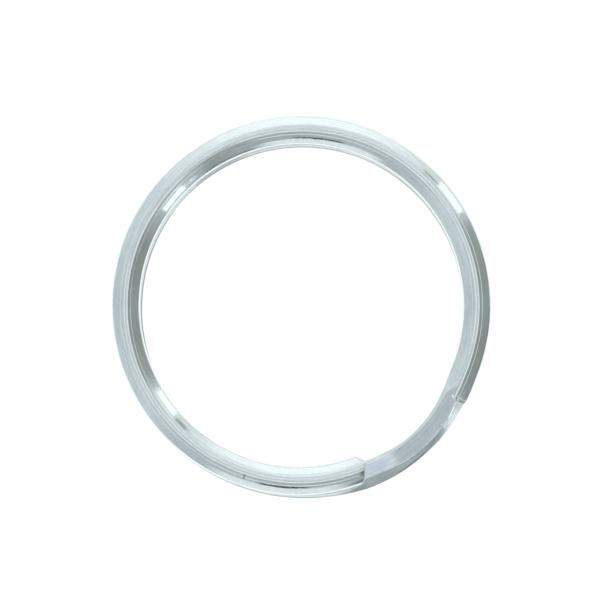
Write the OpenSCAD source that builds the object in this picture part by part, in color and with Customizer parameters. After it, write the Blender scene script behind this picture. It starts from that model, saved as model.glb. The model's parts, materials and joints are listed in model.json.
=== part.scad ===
// Split key ring: one spring-steel wire wound in two turns that lie one on the other.
// Millimetres. The ring lies flat, +Z is up and z = 0 is the surface that it rests on.
// The origin is the middle of the ring, and angles are measured about +Z from +X.
// The wire runs from front_free_end round the front (upper) turn, down the crossover,
// and round the back (lower) turn to back_free_end.
// A sprung ring opens because its wire twists a little all along. The wire is therefore
// divided, square to its own length, at two places in each turn, where the stretches can
// turn against each other about the line of the wire. A twist at these two places, a
// third and two thirds of a turn from the free end, lifts that end the most evenly.

/* [Ring] */
// Outer diameter of one turn
ring_od = 30; // [24:0.5:36]
// Distance along Y between the centres of the two turns
turn_offset = 0.28; // [0:0.02:0.4]
// Air gap between the two turns at rest
turn_gap = 0.05; // [0.03:0.01:0.1]
// How far the free end of each turn is curled inwards
end_curl = 0.16; // [0.02:0.02:0.3]

/* [Wire] */
// Width of the wire, across the ring
wire_w = 2.3; // [2:0.1:2.6]
// Thickness of the wire, along the ring's axis
wire_t = 1.4; // [1.3:0.05:1.6]
// Width of the narrow flat along the ridge
ridge_flat = 0.16; // [0.1:0.02:0.3]
// Width of the flat that faces the other turn
seat_flat = 0.9; // [0.7:0.05:1.1]
// Slope of the two long faces beside the ridge, in degrees
ridge_slope = 34; // [30:1:36]
// Slope of the two faces beside the seat flat, in degrees
seat_slope = 12; // [8:1:15]
// Length along each face that the rounding of a side edge takes up
edge_round = 0.21; // [0.1:0.01:0.22]

/* [Crossover] */
// Angle at which the crossover leaves the back turn
cross_from = 288; // [284:1:290]
// Angle at which it joins the front turn
cross_to = 334; // [333:1:338]
// Angle at the foot of the ramp
ramp_from = 299; // [296:1:302]
// Angle at the top of the ramp
ramp_to = 331; // [328:1:332]
// How far the crossover stands outside the line of the turns
cross_bulge = 0.22; // [0:0.02:0.3]
// Width of the flattened wire on the ramp
cross_w = 2.1; // [1.9:0.05:2.2]
// Thickness of the flattened wire on the ramp
cross_t = 1.28; // [1.2:0.02:1.3]
// Reach of the pressed flat from the wire's centre line, towards the outside of the ring
flat_out = 0.45; // [0.3:0.05:0.6]
// Reach of the pressed flat towards the inside of the ring
flat_in = 0.85; // [0.7:0.05:0.9]

/* [Free ends] */
// Angle of the front turn's end, about the centre of its curl
front_end_at = 294.2; // [292:0.1:296]
// Angle of the back turn's end, about the centre of its curl
back_end_at = -20; // [-22:1:-16]
// Size of the bevel on the inner corner of each end
nose_bevel = 0.6; // [0.3:0.05:0.7]
// Angle between the end face and a square cut, in degrees
nose_skew = 20; // [0:1:25]
// Length along each face that the rounding of the outer corner takes up
nose_round = 0.45; // [0.2:0.05:0.5]
// Angle that the inward curl of a free end takes up
curl_span = 40; // [30:5:50]

/* [Flexing] */
// Angle from a free end to the first place where its turn flexes; the second is as far again
flex_step = 120; // [100:5:130]

/* [Hidden] */
$fn = 96;

HALF_W = wire_w / 2;
LINE_R = (ring_od - wire_w) / 2;                     // from a turn's centre to the wire's centre line
LIFT = wire_t + turn_gap;                            // height of the front turn above the back turn
FRONT_C = [0, turn_offset / 2];
BACK_C = [0, -turn_offset / 2];
// Where the stretches of each turn start and end, counted from the crossover. They flex
// at the second and third of these angles.
FRONT_CUTS = [cross_to - 360, front_end_at - 2 * flex_step, front_end_at - flex_step,
              front_end_at - curl_span, front_end_at];
BACK_CUTS = [cross_from, back_end_at + 2 * flex_step, back_end_at + flex_step,
             back_end_at + curl_span, back_end_at];
STATION_STEP = 1;                                    // degrees between the crossover's sections
RAMP_EASE = 0.12;                                    // share of the ramp that each end curves over
ROUND_STEPS = 4;                                     // flats in the rounding of a side edge
NICKEL = [0.80, 0.82, 0.83];
NICKEL_SHADE = [0.68, 0.71, 0.74];

// ---- The wire's section ------------------------------------------------------------
// Corners in order round the section, before the side edges are rounded. x is outwards
// from the wire's centre line, and y is up from the underside of the wire.
// Corners 1, 2, 5 and 6 are the side edges that get rounded.

function ridge_up() =
    let (low = (HALF_W - seat_flat / 2) * tan(seat_slope),
         high = wire_t - (HALF_W - ridge_flat / 2) * tan(ridge_slope))
    [[seat_flat / 2, 0], [HALF_W, low], [HALF_W, high], [ridge_flat / 2, wire_t],
     [-ridge_flat / 2, wire_t], [-HALF_W, high], [-HALF_W, low], [-seat_flat / 2, 0]];

// The back turn has the same wire with its ridge down.
function ridge_down() =
    let (c = ridge_up())
    [for (i = [3, 2, 1, 0, 7, 6, 5, 4]) [c[i].x, wire_t - c[i].y]];

// On the ramp the wire is pressed flat on both sides, with the flats nearer the inside
// of the ring, and its side edges fall away at the ridge's slope.
function pressed() =
    let (half = cross_w / 2,
         low = (wire_t - cross_t) / 2,
         high = low + cross_t,
         fall_out = (half - flat_out) * tan(ridge_slope),
         fall_in = (half - flat_in) * tan(ridge_slope))
    [[flat_out, low], [half, low + fall_out], [half, high - fall_out], [flat_out, high],
     [-flat_in, high], [-half, high - fall_in], [-half, low + fall_in], [-flat_in, low]];

function mix(a, b, f) = a * (1 - f) + b * f;

function mix_all(a, b, f) = [for (i = [0 : len(a) - 1]) mix(a[i], b[i], f)];

// Points on the rounding of the corner k between a and b, which takes up the length g
// of each side.
function rounding(a, k, b, g) =
    let (p = k + g * (a - k) / norm(a - k), q = k + g * (b - k) / norm(b - k))
    [for (i = [0 : ROUND_STEPS])
        let (f = i / ROUND_STEPS)
        mix(mix(p, k, f), mix(k, q, f), f)];

function outline(c) = concat(
    [c[0]], rounding(c[0], c[1], c[2], edge_round), rounding(c[1], c[2], c[3], edge_round),
    [c[3], c[4]], rounding(c[4], c[5], c[6], edge_round), rounding(c[5], c[6], c[7], edge_round),
    [c[7]]);

// ---- The crossover -----------------------------------------------------------------
function share(a, from, to) = max(0, min(1, (a - from) / (to - from)));

// From 0 to 1 with a straight middle and a short curve at each end.
function eased(f) =
    let (e = RAMP_EASE, slope = 1 / (1 - e))
    f < e ? slope * f * f / (2 * e)
          : f > 1 - e ? 1 - slope * (1 - f) * (1 - f) / (2 * e) : slope * (f - e / 2);

// How much of the section is pressed flat: it starts with a crease at the top of the
// ramp and fades out at its foot.
function flattened(a) = min(share(a, ramp_from - 4, ramp_from + 5), share(a, ramp_to + 1, ramp_to));

// 0 on the back turn and 1 on the front turn
function climbed(a) = eased(share(a, ramp_from, ramp_to));

function cross_section(a) =
    let (plain = a > (ramp_from + ramp_to) / 2 ? ridge_up() : ridge_down())
    outline(mix_all(plain, pressed(), flattened(a)));

function cross_centre(a) =
    let (swing = sin(180 * share(a, cross_from, cross_to)),
         r = LINE_R + cross_bulge * swing * swing,
         c = mix(BACK_C, FRONT_C, climbed(a)))
    [c.x + r * cos(a), c.y + r * sin(a), LIFT * climbed(a)];

function cross_ring(a) =
    let (at = cross_centre(a))
    [for (p = cross_section(a)) at + [p.x * cos(a), p.x * sin(a), p.y]];

module crossover() {
    count = floor((cross_to - cross_from) / STATION_STEP);
    rings = [for (i = [0 : count]) cross_ring(mix(cross_from, cross_to, i / count))];
    n = len(rings[0]);
    sides = [for (i = [0 : count - 1], j = [0 : n - 1])
        let (k = (j + 1) % n)
        [i * n + j, i * n + k, (i + 1) * n + k, (i + 1) * n + j]];
    triangles = [for (s = sides) each [[s[0], s[1], s[2]], [s[0], s[2], s[3]]]];
    ends = [[for (j = [n - 1 : -1 : 0]) j], [for (j = [0 : n - 1]) count * n + j]];
    color(NICKEL)
        polyhedron([for (r = rings) each r], concat(triangles, ends));
}

// ---- The two turns -----------------------------------------------------------------
// A stretch of wire along an arc of radius r about the point c
module arc(c, r, from, to, bottom, corners) {
    translate([c.x, c.y, bottom])
        rotate_extrude(angle = to - from, start = from)
            translate([r, 0])
                polygon(outline(corners));
}

// What is cut from a free end. The wire ends at y = 0 and lies below it, and way is -1
// for an end that faces the other way.
module nose_cut(way) {
    over = 0.2;
    tip = [nose_bevel - HALF_W, 0];
    corner = [HALF_W, -(HALF_W - tip.x) * tan(nose_skew)];
    past = [HALF_W, corner.y - wire_w];
    edge = concat([[tip.x - nose_bevel - over, -nose_bevel - over], tip],
                  rounding(tip, corner, past, nose_round));
    top = [[HALF_W + over, corner.y - nose_round], [HALF_W + over, over], [-HALF_W - over, over]];
    translate([0, 0, -wire_t])
        linear_extrude(3 * wire_t)
            polygon([for (p = concat(edge, top)) [p.x, way * p.y]]);
}

// The last stretch of a turn curls inwards: it is an arc of a smaller radius that
// leaves the turn in line with it. from and to are its ends, and the wire's end is at to.
module free_end(c, from, to, bottom, corners) {
    tighter = end_curl / (1 - cos(to - from));
    curl_c = c + tighter * [cos(from), sin(from)];
    curl_r = LINE_R - tighter;
    difference() {
        arc(curl_c, curl_r, min(from, to), max(from, to), bottom, corners);
        translate([curl_c.x + curl_r * cos(to), curl_c.y + curl_r * sin(to), bottom])
            rotate(to)
                nose_cut(sign(to - from));
    }
}

module front_turn(i) {
    color(i % 2 == 0 ? NICKEL : NICKEL_SHADE)
        arc(FRONT_C, LINE_R, FRONT_CUTS[i - 1], FRONT_CUTS[i], LIFT, ridge_up());
}

module front_free_end() {
    color(NICKEL)
        free_end(FRONT_C, FRONT_CUTS[3], FRONT_CUTS[4], LIFT, ridge_up());
}

// The back turn is counted from the crossover too, so it runs clockwise.
module back_turn(i) {
    color(i % 2 == 0 ? NICKEL : NICKEL_SHADE)
        arc(BACK_C, LINE_R, BACK_CUTS[i], BACK_CUTS[i - 1], 0, ridge_down());
}

module back_free_end() {
    color(NICKEL)
        free_end(BACK_C, BACK_CUTS[3], BACK_CUTS[4], 0, ridge_down());
}

crossover();
for (i = [1 : 3]) {
    front_turn(i);
    back_turn(i);
}
front_free_end();
back_free_end();
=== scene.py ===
"""Split key ring: one nickel-plated spring wire wound in two turns, lying on a pale floor.

Lengths inside the functions are millimetres, and MM turns them into metres. Angles are
degrees about +Z from +X. The wire is described by one running angle that grows along it,
from the back turn's free end, over the crossover, to the front turn's free end.
"""
import json
import math

import bpy
import numpy as np
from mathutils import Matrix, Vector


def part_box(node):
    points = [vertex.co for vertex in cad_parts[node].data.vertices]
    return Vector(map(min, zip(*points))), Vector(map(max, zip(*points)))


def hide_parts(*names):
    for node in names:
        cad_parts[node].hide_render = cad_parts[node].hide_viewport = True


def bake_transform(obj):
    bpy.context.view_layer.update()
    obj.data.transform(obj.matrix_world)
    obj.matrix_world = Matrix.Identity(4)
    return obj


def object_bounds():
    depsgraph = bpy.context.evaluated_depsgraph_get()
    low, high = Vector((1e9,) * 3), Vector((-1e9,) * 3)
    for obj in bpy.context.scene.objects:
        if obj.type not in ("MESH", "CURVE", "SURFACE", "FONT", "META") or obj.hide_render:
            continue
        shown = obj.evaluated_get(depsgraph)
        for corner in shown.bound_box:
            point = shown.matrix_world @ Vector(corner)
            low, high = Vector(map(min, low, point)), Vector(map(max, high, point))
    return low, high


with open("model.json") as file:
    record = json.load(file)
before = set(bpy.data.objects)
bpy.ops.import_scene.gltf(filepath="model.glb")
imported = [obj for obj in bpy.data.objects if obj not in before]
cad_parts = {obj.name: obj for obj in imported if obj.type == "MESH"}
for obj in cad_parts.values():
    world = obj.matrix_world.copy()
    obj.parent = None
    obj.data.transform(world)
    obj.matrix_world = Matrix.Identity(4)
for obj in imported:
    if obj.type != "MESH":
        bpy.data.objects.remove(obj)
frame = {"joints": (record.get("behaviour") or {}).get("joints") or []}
cad_low, cad_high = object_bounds()

MM = 0.001
JOINTS = {j["name"]: j for j in frame["joints"]}

# ---- Places and sizes from the frame -------------------------------------------------
RING_R = (cad_high.x - cad_low.x) / 2 / MM
TURN_SHIFT = (cad_high.y - cad_low.y) / 2 / MM - RING_R   # of each turn's centre along Y
BACK_C = np.array([0.0, -TURN_SHIFT])
FRONT_C = np.array([0.0, TURN_SHIFT])
WIRE_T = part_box("back_turn_2")[1].z / MM
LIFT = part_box("front_turn_2")[0].z / MM


def joint_angle(name, centre):
    """Angle of a joint about the centre of its turn."""
    x, y, _ = (v / MM for v in JOINTS[name]["pos_m"])
    return math.degrees(math.atan2(y - centre[1], x - centre[0])) % 360


FLEX_STEP = 120.0                       # between a free end and a joint, and between joints
BACK_FLEX = [joint_angle("back_end_open", BACK_C), joint_angle("back_turn_flex", BACK_C)]
FRONT_FLEX = [joint_angle("front_turn_flex", FRONT_C) + 360,
              joint_angle("front_end_open", FRONT_C) + 360]
BACK_TIP = BACK_FLEX[0] - FLEX_STEP
FRONT_TIP = FRONT_FLEX[1] + FLEX_STEP

# ---- The wire ------------------------------------------------------------------------
HALF_W = 1.15                           # half the width of the wire
LINE_R = RING_R - HALF_W
SIDE_ROUND = 0.235                      # rounding of the side edges, along each face
CREST_ROUND = (0.13, 0.03)              # rounding beside a pressed flat, and of a ridge
CROWN = 0.012                           # how far a long face stands proud of its chord
HOLLOW = 0.010                          # depth of the groove along the ridge
FLAT_CROWN = 0.004                      # how far a pressed flat stands proud of its chord
END_CURL = 0.16                         # how far a free end is curled inwards
CURL_SPAN = 40.0                        # degrees that the curl takes up
CROSS_FROM, CROSS_TO = 276.0, 339.0     # the crossover, with its blends into the turns
CROSS_MID = 311.0                       # its upper side on one side of this is its underside
                                        # on the other, turned over
CREASE = 329.0                          # where the pressed stretch meets the ridge
CREASE_START, CREASE_END = CREASE - 0.4, CREASE + 0.3
CALM = (312.0, 316.0)                   # where the outer face loses most of its crown
CALM_SHARE = 0.85
RAMP_FOOT, RAMP_TOP = 296.5, 330.5
FOOT_EASE, TOP_EASE = 0.24, 0.05        # share of the ramp that its ends curve over

# How far the wire strays outwards from the line of its turn, at angles along it: the back
# turn is a little flat on its far side, and the crossover swings out
SWING = [(60, 0.0), (100, -0.05), (130, -0.09), (155, -0.15), (180, -0.19), (205, -0.15),
         (240, -0.10), (262, -0.02), (276, 0.03), (281, 0.08), (287, 0.135), (293, 0.19),
         (299, 0.24), (304, 0.29), (309, 0.315), (314, 0.30), (320, 0.25), (326, 0.155),
         (332, 0.055), (339, 0.0)]


def upper(angle, outer, crest, flat, inner, bend=None, ridge=""):
    """The upper side at an angle: the outer edge, the outer and inner limits of the flat on
    top, and the inner edge, each as (distance outwards from the wire's line, height above
    its underside). bend is a corner in the outer face. A ridge's faces, both or only the
    outer one, are rolled: each has a low step beside the ridge, and a narrow bevel up to it."""
    outer, crest, flat, inner = (np.array(p) for p in (outer, crest, flat, inner))
    points = [outer, *rolled_face(outer, crest, bend, ridge != ""), crest]
    points += [flat, *rolled_face(inner, flat, None, ridge == "both")[::-1], inner]
    return angle, *points


# The foot and top of the low step beside a ridge, and the foot of the narrow bevel
ROLLED = ((0.41, 1.196), (0.36, 1.246), (0.17, 1.352))
PLAIN_SHARES = (0.69, 0.74, 0.88)       # places of the same three corners on a plain face


def rolled_face(edge, top, bend, ridge):
    """The three corners of a face between its edge and its top."""
    if ridge:
        side = np.sign(edge[0])
        return [np.array([side * x, y]) for x, y in ROLLED]
    if bend is None:
        return [edge * (1 - f) + top * f for f in PLAIN_SHARES]
    bend = np.array(bend)
    return [bend + 0.06 * (edge - bend), bend + 0.06 * (top - bend), bend + 0.5 * (top - bend)]


TOP_SIDE = [
    upper(276.0, (1.15, 1.251), (0.45, 1.40), (-0.45, 1.40), (-1.15, 1.251)),
    upper(285.0, (1.15, 1.13), (0.40, 1.40), (-0.58, 1.40), (-1.13, 1.22)),
    upper(291.0, (1.16, 0.88), (0.28, 1.39), (-0.72, 1.39), (-1.11, 1.16)),
    upper(299.0, (1.13, 0.90), (0.31, 1.39), (-0.73, 1.39), (-1.08, 1.16)),
    upper(305.0, (1.09, 0.955), (0.40, 1.39), (-0.74, 1.37), (-1.04, 1.16)),
    upper(311.0, (1.05, 1.00), (0.45, 1.385), (-0.74, 1.34), (-1.01, 1.13)),
    upper(317.0, (1.05, 0.955), (0.44, 1.385), (-0.71, 1.33), (-0.98, 1.10), (0.86, 1.11)),
    upper(322.0, (1.07, 0.86), (0.40, 1.39), (-0.72, 1.32), (-1.00, 1.08), (0.61, 1.25)),
    upper(326.0, (1.08, 0.79), (0.34, 1.395), (-0.73, 1.31), (-1.03, 1.05), (0.46, 1.315)),
    upper(328.6, (1.07, 0.745), (0.28, 1.40), (-0.68, 1.28), (-1.06, 0.96), (0.36, 1.35)),
    upper(329.3, (1.12, 0.69), (0.045, 1.40), (-0.62, 1.26), (-1.07, 0.92), ridge="outer"),
    upper(332.0, (1.14, 0.68), (0.045, 1.40), (-0.34, 1.33), (-1.10, 0.80), ridge="outer"),
    upper(336.0, (1.15, 0.678), (0.045, 1.40), (-0.045, 1.40), (-1.15, 0.678), ridge="both"),
]

# ---- The free ends -------------------------------------------------------------------
NOSE_BEVEL = 0.60                       # bevel on the inner corner
NOSE_SKEW = 20.0                        # degrees between the end face and a square cut
NOSE_ROUND = 0.45                       # rounding of the outer corner, along each face
NOSE_EDGE = 0.09                        # rounding of the end face's edge
NOSE_RUN = 9.0                          # degrees over which the mesh adapts to the end face
NOSE_RINGS = 24                         # rings of the mesh over that stretch

# Degrees between the rings of the mesh, over the crossover and elsewhere
FINE_STEP, PLAIN_STEP = 0.2, 0.6


def share(a, start, end):
    return np.clip((a - start) / (end - start), 0.0, 1.0)


def keyed(rows, a):
    """Values at a from rows of (angle, values), joined by smooth curves without overshoot."""
    x = np.array([r[0] for r in rows])
    y = np.array([np.ravel(r[1:]) for r in rows])
    a = min(max(a, x[0]), x[-1])
    i = int(min(np.searchsorted(x, a, side="right") - 1, len(x) - 2))
    slopes = (y[1:] - y[:-1]) / (x[1:] - x[:-1])[:, None]
    tangent = np.zeros_like(y)
    same = slopes[1:] * slopes[:-1] > 0
    both = np.where(same, slopes[1:] + slopes[:-1], 1.0)
    tangent[1:-1] = np.where(same, 2 * slopes[1:] * slopes[:-1] / both, 0.0)
    h = x[i + 1] - x[i]
    t = (a - x[i]) / h
    return ((2 * t**3 - 3 * t**2 + 1) * y[i] + (t**3 - 2 * t**2 + t) * h * tangent[i]
            + (3 * t**2 - 2 * t**3) * y[i + 1] + (t**3 - t**2) * h * tangent[i + 1])


def top_side(a):
    """The ten corners of the upper side, from the outer edge to the inner edge."""
    return keyed(TOP_SIDE, a).reshape(10, 2)


def rounded(before, corner, after, reach, count):
    """Points on the rounding of a corner."""
    first, last = before - corner, after - corner
    reach_1 = min(reach, 0.45 * np.linalg.norm(first))
    reach_2 = min(reach, 0.45 * np.linalg.norm(last))
    p = corner + first / np.linalg.norm(first) * reach_1
    q = corner + last / np.linalg.norm(last) * reach_2
    f = np.linspace(0, 1, count)[:, None]
    return (1 - f) ** 2 * p + 2 * f * (1 - f) * corner + f**2 * q


# For each corner of the upper side: the reach of its rounding (0 for the two on top, which
# CREST_ROUND gives), the number of points on the rounding, and the places of the points
# on the face after it, as shares of the face
CORNERS = [(SIDE_ROUND, 9, (0.04, 0.27, 0.5, 0.73, 0.96)), (0.015, 3, ()), (0.015, 3, (0.1, 0.9)),
           (0.03, 4, (0.1, 0.9)), (0.0, 7, (0.1, 0.4, 0.5, 0.6, 0.9)),
           (0.0, 7, (0.1, 0.9)), (0.03, 4, (0.1, 0.9)), (0.015, 3, ()),
           (0.015, 3, (0.04, 0.27, 0.5, 0.73, 0.96)), (SIDE_ROUND, 9, (0.5,))]


def face_rise(i, t, a, ridged):
    """How far a face after corner i stands proud of its chord at the share t."""
    bow = 4 * t * (1 - t)
    if i in (0, 8):
        pressed = float(share(a, *CALM)) * (1 - ridged)
        return CROWN * bow * (1 - CALM_SHARE * pressed)
    if i == 4:
        groove = min(2 * t, 2 - 2 * t, 0.9)
        return FLAT_CROWN * (1 - ridged) * bow - HOLLOW * ridged * groove
    return 0.0


def section(a):
    """The wire's outline at angle a, anticlockwise from the middle of its outer side. Its
    first half is the upper side and its second half the underside, point for point."""
    other = 2 * CROSS_MID - a
    up = list(top_side(a))
    down = [np.array([x, WIRE_T - y]) for x, y in top_side(other)]
    corners = up + down[::-1]
    n = len(corners)
    halves = [(x, float(share(x, CREASE_START, CREASE_END))) for x in (a, other)]
    parts = []
    for i in range(n):
        reach, count, _ = CORNERS[i % 10]
        if not reach:
            f = halves[i // 10][1]
            reach = CREST_ROUND[0] * (1 - f) + CREST_ROUND[1] * f
        parts.append(rounded(corners[i - 1], corners[i], corners[(i + 1) % n], reach, count))
    out = []
    for i in range(n):
        out.append(parts[i])
        p, q = parts[i][-1], parts[(i + 1) % n][0]
        side = np.array([q[1] - p[1], p[0] - q[0]]) / max(np.linalg.norm(q - p), 1e-6)
        for t in CORNERS[i % 10][2]:
            rise = face_rise(i % 10, t, *halves[i // 10])
            out.append((p * (1 - t) + q * t + side * rise)[None])
    return np.roll(np.concatenate(out), 1, axis=0)


def eased(f):
    """From 0 to 1, straight but for a curve at each end."""
    e, g = FOOT_EASE, TOP_EASE
    slope = 1 / (1 - e / 2 - g / 2)
    if f < e:
        return slope * f * f / (2 * e)
    if f > 1 - g:
        return 1 - slope * (1 - f) ** 2 / (2 * g)
    return slope * (f - e / 2)


def climbed(a):
    """0 on the back turn and 1 on the front turn."""
    return eased(float(share(a, RAMP_FOOT, RAMP_TOP)))


def curl(centre, start):
    """The tighter arc of a free end, which leaves its turn in line with it at start."""
    tighter = END_CURL / (1 - math.cos(math.radians(CURL_SPAN)))
    c = centre + tighter * np.array([math.cos(math.radians(start)),
                                     math.sin(math.radians(start))])
    return c, LINE_R - tighter


def arc_at(a):
    """Centre and radius of the wire's line at angle a, and the height of its underside."""
    if a < BACK_TIP + CURL_SPAN:
        return *curl(BACK_C, BACK_TIP + CURL_SPAN), 0.0
    if a > FRONT_TIP - CURL_SPAN:
        return *curl(FRONT_C, FRONT_TIP - CURL_SPAN), LIFT
    up = climbed(a)
    return BACK_C * (1 - up) + FRONT_C * up, LINE_R + float(keyed(SWING, a)[0]), LIFT * up


def nose_reach(x):
    """How far the wire reaches at distance x outwards from its line, from its tip."""
    tip = NOSE_BEVEL - HALF_W
    lean = math.tan(math.radians(NOSE_SKEW))
    corner = -(HALF_W - tip) * lean
    p = (HALF_W - NOSE_ROUND * math.cos(math.radians(NOSE_SKEW)),
         corner + NOSE_ROUND * math.sin(math.radians(NOSE_SKEW)))
    left = np.sqrt(np.clip((HALF_W - x) / (HALF_W - p[0]), 0, 1))
    turn = left**2 * p[1] + 2 * left * (1 - left) * corner + (1 - left) ** 2 * (corner - NOSE_ROUND)
    flat = np.where(x < tip, x - tip, -(x - tip) * lean)
    return np.where(x > p[0], turn, flat)


def shrunk(points, by):
    """The outline moved inwards."""
    way = np.roll(points, -1, axis=0) - np.roll(points, 1, axis=0)
    way /= np.linalg.norm(way, axis=1)[:, None]
    return points + by * np.stack([-way[:, 1], way[:, 0]], axis=1)


def ring_points(a, outline, run=0.0):
    """The outline in space at angle a. run moves each point further along the wire."""
    centre, radius, low = arc_at(a)
    t = np.radians(a + np.degrees(np.asarray(run) / radius))
    r = radius + outline[:, 0]
    return np.stack([centre[0] + r * np.cos(t), centre[1] + r * np.sin(t),
                     low + outline[:, 1]], axis=1)


def nose_rings(tip, way):
    """Rings of the last stretch before a free end at angle tip, ending in its rounded edge.
    way is 1 if the wire's running angle grows towards the tip."""
    outline = section(tip)
    _, radius, _ = arc_at(tip)
    length = math.radians(NOSE_RUN) * radius
    reach = nose_reach(np.clip(outline[:, 0], -HALF_W, HALF_W))
    rings = []
    for f in np.linspace(0, 1, NOSE_RINGS + 1)[1:]:
        run = -length * (1 - f) + f * (reach - NOSE_EDGE)
        rings.append(ring_points(tip, outline, way * run))
    for turn in np.radians([22.5, 45, 67.5, 90]):
        run = reach - NOSE_EDGE * (1 - math.sin(turn))
        inset = shrunk(outline, NOSE_EDGE * (1 - math.cos(turn)))
        rings.append(ring_points(tip, inset, way * run))
    return rings


def stations(start, end):
    """Angles of the rings between start and end, closer together over the crossover."""
    stops = sorted({start, end, *[m for m in (CROSS_FROM, CROSS_TO) if start < m < end]})
    out = []
    for p, q in zip(stops, stops[1:]):
        step = FINE_STEP if CROSS_FROM <= p < CROSS_TO else PLAIN_STEP
        out += list(np.linspace(p, q, max(2, int(round((q - p) / step)) + 1)))[:-1]
    return out + [end]


def end_face(base, n, flip):
    """Strips across the ring of n points that starts at base, each from the upper side to
    the underside. Three triangles take in the middle of each side edge."""
    half = n // 2
    strips = [[0, 1, 2], [0, 2, n - 2], [0, n - 2, n - 1]]
    strips += [[j, j + 1, n - j - 1, n - j] for j in range(2, half - 2)]
    strips += [[half - 2, half - 1, half], [half - 2, half, half + 2], [half, half + 1, half + 2]]
    return [tuple(base + k for k in (strip[::-1] if flip else strip)) for strip in strips]


def wire_rings(start, end):
    """The rings of points from angle start to angle end, and how far along the wire each is."""
    back_nose, front_nose = start <= BACK_TIP, end >= FRONT_TIP
    first = BACK_TIP + NOSE_RUN if back_nose else start
    last = FRONT_TIP - NOSE_RUN if front_nose else end
    angles = stations(first, last)
    rings = [ring_points(a, section(a)) for a in angles]
    along = [math.radians(a) * LINE_R for a in angles]
    if back_nose:
        nose = nose_rings(BACK_TIP, -1)[::-1]
        rings = nose + rings
        tip = math.radians(BACK_TIP) * LINE_R
        along = list(np.linspace(tip, along[0], len(nose) + 1))[:-1] + along
    if front_nose:
        nose = nose_rings(FRONT_TIP, 1)
        rings = rings + nose
        tip = math.radians(FRONT_TIP) * LINE_R
        along = along + list(np.linspace(along[-1], tip, len(nose) + 1))[1:]
    return rings, along


def wire_mesh(name, start, end):
    """A closed mesh of the wire from angle start to angle end."""
    rings, along = wire_rings(start, end)
    m, n = len(rings), len(rings[0])
    faces = [(i * n + j, (i + 1) * n + j, (i + 1) * n + (j + 1) % n, i * n + (j + 1) % n)
             for i in range(m - 1) for j in range(n)]
    faces += end_face(0, n, False) + end_face((m - 1) * n, n, True)
    mesh = bpy.data.meshes.new(name)
    mesh.from_pydata((np.concatenate(rings) * MM).tolist(), [], faces)
    mesh.update()
    mesh.shade_smooth()
    mark_ends(mesh, n, m)
    wire_uv(mesh, rings, along, n)
    piece = bpy.data.objects.new(name, mesh)
    bpy.context.scene.collection.objects.link(piece)
    return piece


def mark_ends(mesh, n, m):
    """The edges of the two end faces are sharp, so that they don't bend the long faces."""
    last = (m - 1) * n
    for e in mesh.edges:
        p, q = e.vertices
        if (p < n and q < n) or (p >= last and q >= last):
            e.use_edge_sharp = True


def wire_uv(mesh, rings, along, n):
    """Distance along the wire and round it, both in millimetres, as the UV map."""
    ring = rings[len(rings) // 2]
    gaps = np.linalg.norm(np.roll(ring, -1, axis=0) - ring, axis=1)
    around = np.concatenate([[0], np.cumsum(gaps)])
    index = np.zeros(len(mesh.loops), np.int32)
    mesh.loops.foreach_get("vertex_index", index)
    u = np.asarray(along)[index // n]
    j = index % n
    v = around[j]
    starts = np.arange(0, len(index), 4)[: (len(rings) - 1) * n]
    wraps = (j[starts] == n - 1)
    for k in (2, 3):
        hit = starts[wraps] + k
        v[hit] = around[-1]
    layer = mesh.uv_layers.new(name="wire")
    layer.data.foreach_set("uv", np.stack([u, v], axis=1).astype(np.float32).ravel())


# ---- Materials -----------------------------------------------------------------------
# Dark spots: running angle, half length in mm, and middle and half width round the wire in mm.
# One is a nick beside the front turn's ridge; the other, just short of the front tip, is
# painted shade for the shadowed gap between the tip and the crossover under it.
NICK_AND_TIP_SHADE = [(251.5 + 360, 0.055, 1.22, 0.23), (FRONT_TIP - 1.9, 0.20, 1.22, 0.18)]


class Nodes:
    """Short ways to add and join nodes in one tree."""

    def __init__(self, tree):
        self.tree = tree
        tree.nodes.clear()

    def add(self, kind, **inputs):
        """A new node. Each input is a property, a socket's name or, as i0, its number."""
        node = self.tree.nodes.new(kind)
        for key, value in inputs.items():
            self.put(node, key, value)
        return node

    def put(self, node, key, value):
        if hasattr(node, key):
            setattr(node, key, value)
            return
        socket = node.inputs[int(key[1:])] if key[1:].isdigit() else \
            node.inputs[key.replace("_", " ")]
        if isinstance(value, bpy.types.NodeSocket):
            self.tree.links.new(value, socket)
        else:
            socket.default_value = value

    def math(self, operation, a, b=0.0, c=0.0):
        node = self.add("ShaderNodeMath", operation=operation, i0=a, i1=b)
        if operation == "MULTIPLY_ADD":
            self.put(node, "i2", c)
        return node.outputs[0]

    def span(self, value, low, high, to_low=0.0, to_high=1.0):
        """From to_low to to_high as value goes from low to high, with soft ends."""
        node = self.add("ShaderNodeMapRange", i0=value, i1=low, i2=high, i3=to_low, i4=to_high)
        node.interpolation_type = "SMOOTHSTEP"
        return node.outputs[0]

    def mix(self, factor, a, b, blend="MIX"):
        node = self.add("ShaderNodeMix", data_type="RGBA", blend_type=blend)
        for socket, value in zip((node.inputs[0], node.inputs[6], node.inputs[7]),
                                 (factor, a, b)):
            if isinstance(value, bpy.types.NodeSocket):
                self.tree.links.new(value, socket)
            else:
                socket.default_value = value
        return node.outputs[2]

    def ramp(self, value, stops):
        """The colour at value, from stops of (place, colour)."""
        node = self.add("ShaderNodeValToRGB", i0=value)
        ramp = node.color_ramp
        while len(ramp.elements) < len(stops):
            ramp.elements.new(0.5)
        for element, (at, colour) in zip(ramp.elements, stops):
            element.position = at
            element.color = colour
        return node.outputs[0]


def stretched_noise(n, uv, along, around, detail, rough=0.5):
    """Noise with its grain drawn out along or across the wire, in cycles a millimetre."""
    place = n.add("ShaderNodeMapping", i0=uv, i3=(along, around, 1.0))
    noise = n.add("ShaderNodeTexNoise", Vector=place.outputs[0], Scale=1.0, Detail=detail,
                  Roughness=rough)
    return noise.outputs[0]


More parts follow.
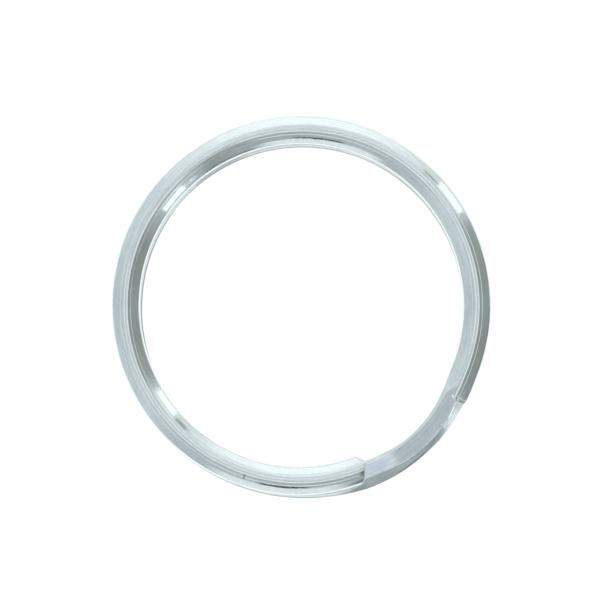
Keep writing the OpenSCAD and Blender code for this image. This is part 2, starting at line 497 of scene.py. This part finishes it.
def marks(n, uv, uneven):
    """Where the plate is gone from the sheared tips, where the wire is nicked, and a spot of
    painted shade just short of the front tip.
    """
    split = n.add("ShaderNodeSeparateXYZ", Vector=uv).outputs
    from_back = n.math("SUBTRACT", split[0], math.radians(BACK_TIP) * LINE_R)
    to_front = n.math("SUBTRACT", math.radians(FRONT_TIP) * LINE_R, split[0])
    near = n.math("MINIMUM", from_back, to_front)
    edge = n.math("MULTIPLY_ADD", uneven, 1.1, -0.1)
    tips = n.math("MULTIPLY", n.span(n.math("SUBTRACT", edge, near), -0.12, 0.12), 0.7)
    nick_and_tip_shade = 0.0
    # each spot's mask: the nick, and the painted shade spot just short of the front tip
    for angle, length, middle, half in NICK_AND_TIP_SHADE:
        along = window(n, split[0], math.radians(angle) * LINE_R, length, 0.8 * length)
        dark_spot = n.math("MULTIPLY", along, window(n, split[1], middle, half, 0.05))
        nick_and_tip_shade = n.math("MAXIMUM", nick_and_tip_shade, dark_spot)
    return tips, nick_and_tip_shade


def nickel_tone(n, drawn, peel, wear_and_tip_shade, nick_and_tip_shade):
    """The plate's colour: lighter and darker drawing marks, duller at wear and at the painted shade
    spot by the front tip, and nearly black at the nick and in that painted shade spot.
    """
    tone = n.mix(n.span(drawn, 0.36, 0.64), (0.735, 0.77, 0.775, 1), (0.85, 0.88, 0.89, 1))
    tone = n.mix(n.math("MULTIPLY", n.span(peel, 0.4, 0.66), 0.45), tone, (0.73, 0.75, 0.75, 1))
    # duller at wear, and at the painted shade spot by the front tip, which this mask also holds
    tone = n.mix(n.math("MULTIPLY", wear_and_tip_shade, 0.5), tone, (0.55, 0.56, 0.55, 1))
    # nearly black at the nick, and at the spot of painted shade just short of the front tip
    return n.mix(n.math("MULTIPLY", nick_and_tip_shade, 0.8), tone, (0.22, 0.22, 0.21, 1))


def layered(n, base, layers):
    """base plus each layer's value times its weight."""
    for value, weight in layers:
        base = n.math("MULTIPLY_ADD", value, weight, base)
    return base


def nickel():
    """Bright nickel plate: drawing marks and handling scratches along the wire, a fainter
    grain across it, a little unevenness of the rolled faces, dull specks of wear, a dark
    nick, and a spot of painted shade just short of the front tip."""
    material = bpy.data.materials.new("nickel_plate")
    material.use_nodes = True
    n = Nodes(material.node_tree)
    uv = n.add("ShaderNodeUVMap", uv_map="wire").outputs[0]
    grain = stretched_noise(n, uv, 6.0, 0.6, 4.0, 0.6)
    drawn = stretched_noise(n, uv, 0.45, 9.0, 4.0, 0.65)
    scratches = stretched_noise(n, uv, 0.6, 13.0, 2.0, 0.6)
    waves = stretched_noise(n, uv, 0.9, 1.1, 2.0)
    peel = stretched_noise(n, uv, 3.0, 4.5, 3.0, 0.6)
    specks = stretched_noise(n, uv, 2.4, 3.2, 2.0, 0.7)
    fine = n.span(scratches, 0.62, 0.74)
    tips, nick_and_tip_shade = marks(n, uv, specks)
    # the dull mask takes in the painted shade spot by the front tip as well as the wear
    wear_and_tip_shade = n.math("MAXIMUM", n.span(specks, 0.68, 0.78), n.math("MAXIMUM", tips, nick_and_tip_shade))
    rough = layered(n, 0.03, [(grain, 0.04), (drawn, 0.05), (fine, 0.12), (wear_and_tip_shade, 0.22)])
    height = layered(n, 0.0, [(grain, 0.35), (waves, 6.0), (drawn, 1.1), (peel, 1.6),
                              (fine, -0.5), (wear_and_tip_shade, -0.8)])
    bump = n.add("ShaderNodeBump", Strength=0.35, Distance=0.0000035, Height=height)
    shader = n.add("ShaderNodeBsdfPrincipled", Metallic=1.0, Roughness=rough,
                   Base_Color=nickel_tone(n, drawn, peel, wear_and_tip_shade, nick_and_tip_shade), Normal=bump.outputs[0])
    n.add("ShaderNodeOutputMaterial", Surface=shader.outputs[0])
    return material


def white_floor():
    """A pale sheet lit from below as well as from above, so that it is evenly white."""
    material = bpy.data.materials.new("floor_white")
    material.use_nodes = True
    n = Nodes(material.node_tree)
    place = n.add("ShaderNodeTexCoord").outputs["Object"]
    grain = n.add("ShaderNodeTexNoise", Vector=place, Scale=900.0, Detail=2.0).outputs[0]
    rough = n.span(grain, 0.3, 0.7, 0.75, 0.9)
    shader = n.add("ShaderNodeBsdfPrincipled", Base_Color=(0.5, 0.5, 0.5, 1), Roughness=rough,
                   Emission_Color=(1, 1, 1, 1), Emission_Strength=0.80)
    n.add("ShaderNodeOutputMaterial", Surface=shader.outputs[0])
    return material


# ---- The studio ----------------------------------------------------------------------
WARM, BLUE, CLEAR = (0.89, 1.0, 0.975), (0.895, 1.0, 1.035), (0.93, 1.0, 1.01)
HAZE = (0.885, 1.0, 1.02)


def grey(level, tint=HAZE):
    """A light of this brightness with a slight tint."""
    return (level * tint[0], level * tint[1], level * tint[2], 1.0)


# Light of the studio's walls by compass angle: a white wall beyond the ring, pale ones to
# the left, grey ones on the near side and a dark one to the right
WALLS = [(0, 0.38, WARM), (10, 0.345, WARM), (24, 0.42, WARM), (31, 0.72, CLEAR), (47, 0.86, CLEAR),
         (60, 1.07, CLEAR), (75, 1.20, CLEAR), (105, 1.20, CLEAR), (122, 0.99, CLEAR),
         (145, 0.78, BLUE), (157, 0.76, BLUE), (178, 0.64, BLUE), (190, 0.68, BLUE),
         (214, 0.74, BLUE), (228, 0.60, BLUE), (242, 0.56, BLUE), (254, 0.56, BLUE),
         (276, 0.50, BLUE), (290, 0.47, BLUE), (302, 0.37, WARM), (311, 0.56, BLUE),
         (328, 0.50, BLUE), (338, 0.34, WARM), (348, 0.325, WARM), (360, 0.38, WARM)]
DIMMER = 0.84                           # the walls are no brighter than this higher up
# Light of the ceiling by the height of the direction, from low to straight up
CEILING = [(0.64, 0.66, CLEAR), (0.70, 0.92, CLEAR), (0.82, 0.92, CLEAR), (0.88, 0.60, BLUE),
           (0.945, 0.585, BLUE), (0.962, 0.68, BLUE), (0.976, 0.83, BLUE), (0.99, 0.83, BLUE),
           (0.996, 0.76, (0.90, 1.0, 1.12)), (1.0, 0.74, (0.91, 1.0, 1.12))]
HORIZON = 0.88                          # the light just above the floor, all round
AIR = 1.1                               # what the camera itself sees round the ring: white

# Lamps and stands: compass angle, half width in degrees, height of the direction and half
# of its extent, brightness, and how much of it covers what is behind
FITTINGS = [
    (35.8, 5.3, 0.325, 0.125, 1.3, 1.0),        # narrow softbox on the right
    (319.7, 5.6, 0.355, 0.095, 1.3, 1.0),       # narrow softbox at the camera's foot
    (310.8, 1.6, 0.355, 0.060, 1.0, 0.8),       # lamp beside it
    (44.6, 2.8, 0.430, 0.055, 0.40, 0.9),       # dark stand beside the first softbox
    (322.0, 6.5, 0.135, 0.050, 1.05, 0.9),      # white panel low at the camera's foot
    (263.0, 21.0, 0.240, 0.115, 1.0, 0.9),      # low window
    (264.5, 8.5, 0.390, 0.024, 0.01, 1.0),      # dark rail above the window
    (296.0, 9.0, 0.170, 0.090, 0.22, 0.85),     # dark cloth at the foot of the tripod
    (301.0, 10.0, 0.760, 0.120, 0.50, 0.7),     # and its arm overhead
    (147.0, 19.0, 0.760, 0.110, 0.71, 0.9),     # a beam overhead on the other side
    (355.0, 30.0, 0.150, 0.060, 0.24, 0.7),     # dark cloth along the dark wall
]


def window(n, value, centre, half, soft):
    """1 where value is within half of centre, fading to 0 over soft."""
    off = n.math("ABSOLUTE", n.math("SUBTRACT", value, centre))
    return n.span(off, half + soft, half - soft)


def studio():
    """Walls, ceiling and lamps as the world's light. The camera itself sees white."""
    world = bpy.data.worlds.new("studio")
    bpy.context.scene.world = world
    world.use_nodes = True
    n = Nodes(world.node_tree)
    way = n.add("ShaderNodeTexCoord").outputs["Generated"]
    split = n.add("ShaderNodeSeparateXYZ", Vector=way).outputs
    turn = n.math("ARCTAN2", split[1], split[0])
    turn = n.math("FRACT", n.math("MULTIPLY_ADD", turn, 1 / (2 * math.pi), 1.0))
    height = split[2]
    walls = n.ramp(turn, [(a / 360, grey(*look)) for a, *look in WALLS])
    upper_walls = n.mix(1.0, walls, grey(DIMMER), "DARKEN")
    walls = n.mix(n.span(height, 0.42, 0.50), walls, upper_walls)
    light = n.mix(n.span(height, 0.17, 0.11), walls, grey(HORIZON))
    ceiling = n.ramp(height, [(h, grey(*look)) for h, *look in CEILING])
    light = n.mix(n.span(height, 0.57, 0.66), light, ceiling)
    for angle, half, middle, tall, level, cover in FITTINGS:
        soft = 0.5 if level > 1 else 0.25 * half
        wide = window(n, turn, angle / 360, half / 360, soft / 360)
        high = window(n, height, middle, tall, 0.012 if tall > 0.02 else 0.008)
        seen = n.math("MULTIPLY", n.math("MULTIPLY", wide, high), cover)
        light = n.mix(seen, light, grey(level, CLEAR))
    to_camera = n.add("ShaderNodeLightPath").outputs["Is Camera Ray"]
    light = n.mix(to_camera, light, (AIR, AIR, AIR, 1.0))
    back = n.add("ShaderNodeBackground", Color=light, Strength=1.0)
    n.add("ShaderNodeOutputWorld", Surface=back.outputs[0])


FLOOR_R, FLOOR_SIDES = 1.6, 96          # the floor's radius in metres


def floor():
    """A round floor at the height that the ring rests on."""
    turns = [2 * math.pi * i / FLOOR_SIDES for i in range(FLOOR_SIDES)]
    rim = [(FLOOR_R * math.cos(t), FLOOR_R * math.sin(t), 0.0) for t in turns]
    mesh = bpy.data.meshes.new("floor")
    mesh.from_pydata(rim, [], [tuple(range(FLOOR_SIDES))])
    mesh.materials.append(white_floor())
    piece = bpy.data.objects.new("floor", mesh)
    piece.location.z = cad_low.z - 0.005 * MM
    bpy.context.scene.collection.objects.link(piece)


VIEW_FROM, VIEW_WIDTH = 450.0, 47.32    # the camera's distance, and the width that it sees
VIEW_SHIFT = (-0.114, 0.568)            # from the ring's middle to the middle of the view


def camera():
    """Straight above the ring, far enough away for a flat perspective."""
    distance, width = VIEW_FROM * MM, VIEW_WIDTH * MM
    data = bpy.data.cameras.new("camera")
    data.sensor_width = 36.0
    data.lens = data.sensor_width * distance / width
    data.clip_start, data.clip_end = 0.01, 5.0
    view = bpy.data.objects.new("camera", data)
    middle = (cad_low + cad_high) / 2
    view.location = (middle.x + VIEW_SHIFT[0] * MM, middle.y + VIEW_SHIFT[1] * MM,
                     middle.z + distance)
    bpy.context.scene.collection.objects.link(view)
    bpy.context.scene.camera = view


def bend(piece, joint, running):
    """The piece's transform is baked into its mesh; nothing bends it here.
    joint and running, the running angle at which the joint stands, are not used."""
    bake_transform(piece)


def ring():
    """Four lengths of wire, each with one joint in it. They meet where nothing bends."""
    metal = nickel()
    back_meet = sum(BACK_FLEX) / 2
    foot_meet = BACK_FLEX[1] + FLEX_STEP / 2
    front_meet = sum(FRONT_FLEX) / 2
    lengths = [
        ("wire_back_end", BACK_TIP, back_meet, "back_end_open", BACK_FLEX[0],
         ("back_free_end", "back_turn_3")),
        ("wire_back_turn", back_meet, foot_meet, "back_turn_flex", BACK_FLEX[1],
         ("back_turn_2", "back_turn_1")),
        ("wire_crossover", foot_meet, front_meet, "front_turn_flex", FRONT_FLEX[0],
         ("crossover", "front_turn_1")),
        ("wire_front_end", front_meet, FRONT_TIP, "front_end_open", FRONT_FLEX[1],
         ("front_turn_2", "front_turn_3", "front_free_end")),
    ]
    for name, start, end, joint, running, nodes in lengths:
        piece = wire_mesh(name, start, end)
        piece.data.materials.append(metal)
        bend(piece, joint, running)
        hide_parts(*nodes)


ring()
floor()
studio()
camera()
bpy.context.scene.view_settings.view_transform = "Standard"
